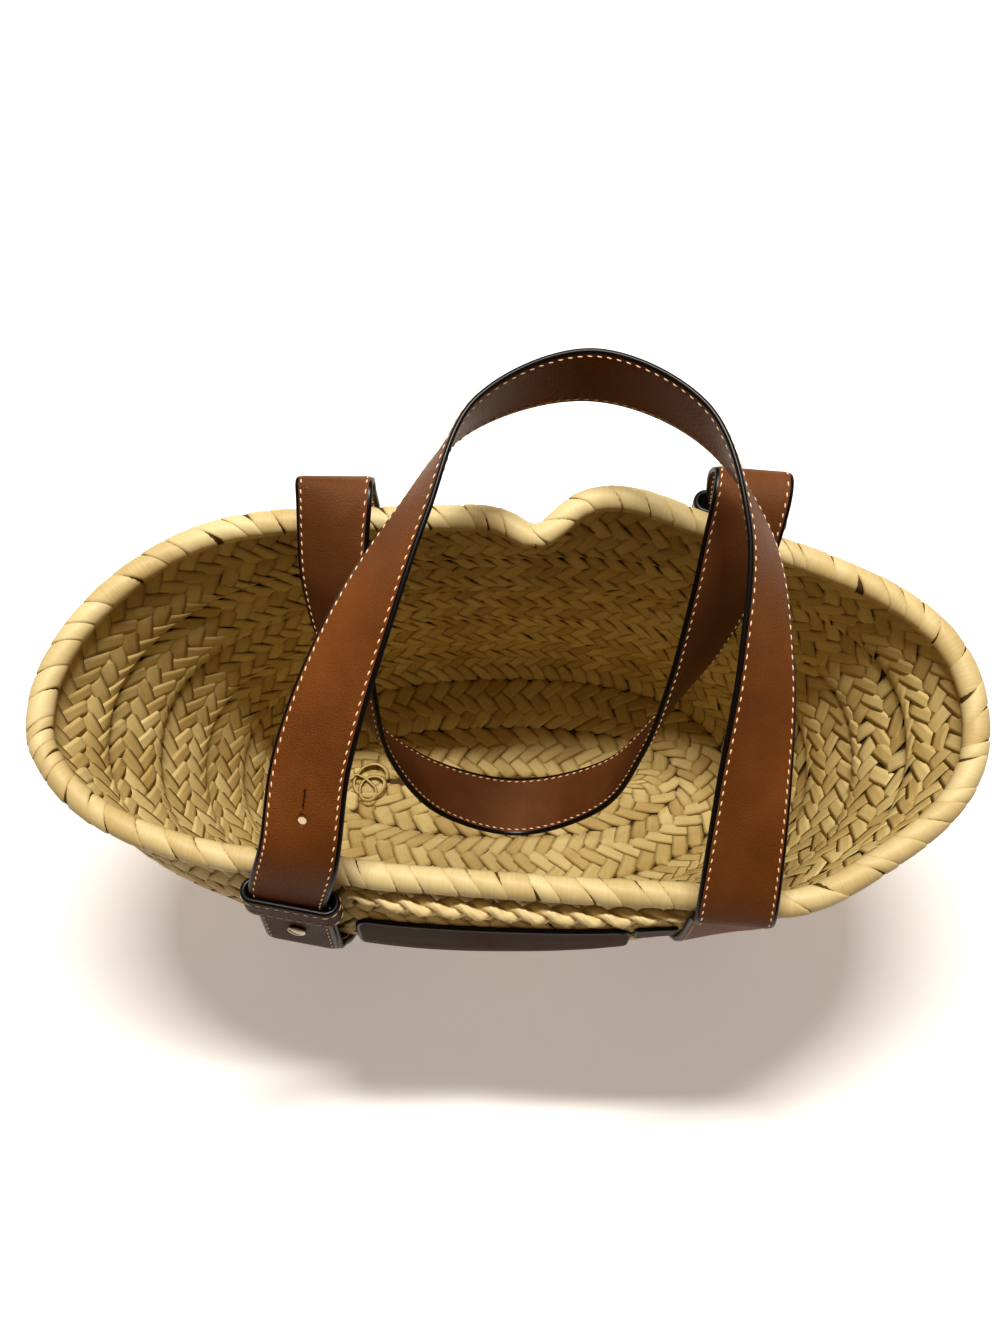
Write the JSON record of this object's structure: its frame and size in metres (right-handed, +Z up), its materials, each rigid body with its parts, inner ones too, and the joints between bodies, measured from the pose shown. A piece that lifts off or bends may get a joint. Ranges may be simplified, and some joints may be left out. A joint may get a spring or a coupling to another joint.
{
  "type": "straw basket bag",
  "caption": "Wide oval basket of plaited palm leaf with a wrapped rim, long leather strap handles held by keepers and studs, a bare leather patch and a twisted straw rope.",
  "frame": {"origin": "middle of the flat base, on the surface that the basket stands on", "axes": "+Z up out of the basket's mouth, +X along the basket's length to the wearer's right seen from the front, -Y towards the front with the patch"},
  "size_m": [0.448, 0.2483, 0.3135],
  "materials": {
    "straw": "plaited palm leaf, dry and matte",
    "rim_straw": "palm leaf wrapped round the rim, dry with a slight sheen",
    "rope": "twisted palm leaf, dry and matte",
    "front_strap": "fine-grained tan leather, satin",
    "back_strap": "fine-grained tan leather, satin",
    "anchor": "fine-grained brown leather, satin",
    "keeper": "fine-grained brown leather, satin",
    "stud": "polished pale metal",
    "patch": "smooth dark brown leather, satin",
    "tab": "fine-grained brown leather, satin"
  },
  "bodies": {
    "root": {"basket_shell": "straw", "rim_binding": "rim_straw", "front_rope": "rope", "front_handle_strap": "front_strap", "back_handle_strap": "back_strap", "front_anchor_strap": "anchor", "back_anchor_strap": "anchor", "front_keeper": "keeper", "back_keeper": "keeper", "front_stud": "stud", "back_stud": "stud", "front_patch": "patch", "strap_tab": "tab"}
  },
  "joints": []
}
